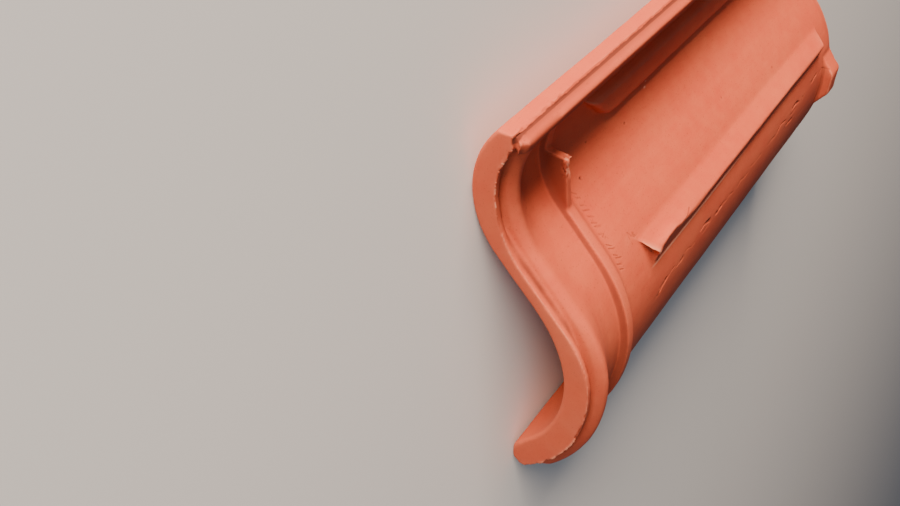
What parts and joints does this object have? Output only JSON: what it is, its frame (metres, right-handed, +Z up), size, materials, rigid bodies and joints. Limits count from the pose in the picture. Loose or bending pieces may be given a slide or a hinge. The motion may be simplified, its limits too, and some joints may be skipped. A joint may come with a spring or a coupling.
{
  "type": "interlocking clay pantile",
  "caption": "S-shaped interlocking clay roof tile with a lock bead, a tail rib, support ridges and a hanging nib under it.",
  "frame": {"origin": "centre of the bounding box on the floor that the tile lies on", "axes": "+Y along the tile from its tail to its head, +X across it from the cover edge to the water edge, +Z up, away from the weather face that it lies on"},
  "size_m": [0.2586, 0.454, 0.0691],
  "materials": {
    "fired_clay": "matte"
  },
  "bodies": {
    "root": {"clay_tile": "fired_clay"}
  },
  "joints": []
}
